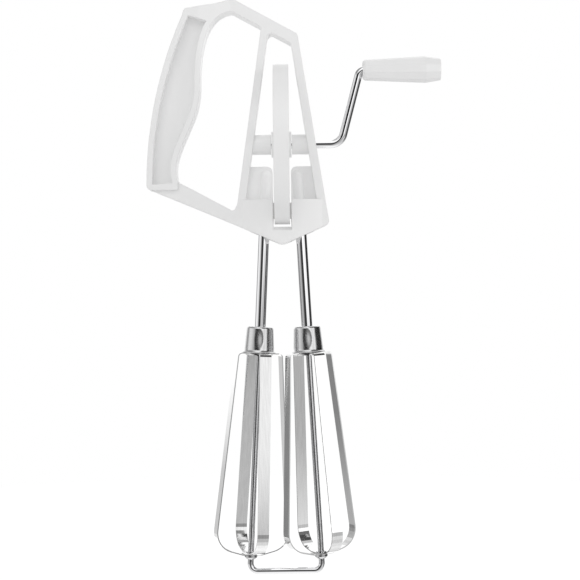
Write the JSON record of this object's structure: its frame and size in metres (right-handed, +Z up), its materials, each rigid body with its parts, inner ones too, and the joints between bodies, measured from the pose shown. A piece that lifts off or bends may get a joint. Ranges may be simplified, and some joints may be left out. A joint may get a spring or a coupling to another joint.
{
  "type": "rotary hand whisk",
  "caption": "Hand-cranked rotary egg beater: white plastic frame with a side grip, a crown wheel on a bent steel crank, and two steel beaters that turn opposite ways.",
  "frame": {"origin": "lowest point of the guide wire's foot bar, midway between the two beater axes", "axes": "+Z up along the tool towards its head, +X towards the crank knob, +Y away from the viewer of the crank-on-the-right view"},
  "size_m": [0.1586, 0.086, 0.3092],
  "materials": {
    "white_plastic": "satin injection-moulded white plastic",
    "wheel_plastic": "satin injection-moulded white plastic, slightly warmer than the frame",
    "gear_plastic": "natural acetal, low sheen",
    "polished_steel": "polished stainless steel with fine drawing lines along it",
    "satin_steel": "rolled stainless strip, brushed along its length",
    "spring_steel": "plain spring steel"
  },
  "bodies": {
    "frame": {"frame": "white_plastic", "guide_wire": "polished_steel", "left_bush": "gear_plastic", "right_bush": "gear_plastic"},
    "crank": {"drive_wheel": "wheel_plastic", "crank_rod": "polished_steel", "knob_push_nut": "spring_steel"},
    "knob": {"crank_knob": "white_plastic", "knob_end_cap": "white_plastic"},
    "left_beater": {"left_pinion": "gear_plastic", "left_tube": "polished_steel", "left_ferrule": "polished_steel", "left_blade_collar": "satin_steel", "left_outer_blades": "satin_steel", "left_inner_blades": "satin_steel", "left_eyelet": "polished_steel"},
    "right_beater": {"right_pinion": "gear_plastic", "right_tube": "polished_steel", "right_ferrule": "polished_steel", "right_blade_collar": "satin_steel", "right_outer_blades": "satin_steel", "right_inner_blades": "satin_steel", "right_eyelet": "polished_steel"}
  },
  "joints": [
    {"name": "wheel_spin", "type": "hinge", "parent": "frame", "child": "crank", "pos_m": [0, 0, 0.2315], "axis": [1, 0, 0], "continuous": true},
    {"name": "knob_spin", "type": "hinge", "parent": "crank", "child": "knob", "pos_m": [0.06, 0, 0.2712], "axis": [1, 0, 0], "continuous": true},
    {"name": "left_spin", "type": "hinge", "parent": "frame", "child": "left_beater", "pos_m": [-0.0195, 0, 0], "axis": [0.0513, 0, 0.9987], "continuous": true},
    {"name": "right_spin", "type": "hinge", "parent": "frame", "child": "right_beater", "pos_m": [0.0195, 0, 0], "axis": [-0.0513, 0, 0.9987], "continuous": true}
  ],
  "couplings": [
    {"joint": "left_spin", "follows": "wheel_spin", "ratio": 6},
    {"joint": "right_spin", "follows": "wheel_spin", "ratio": -6}
  ]
}
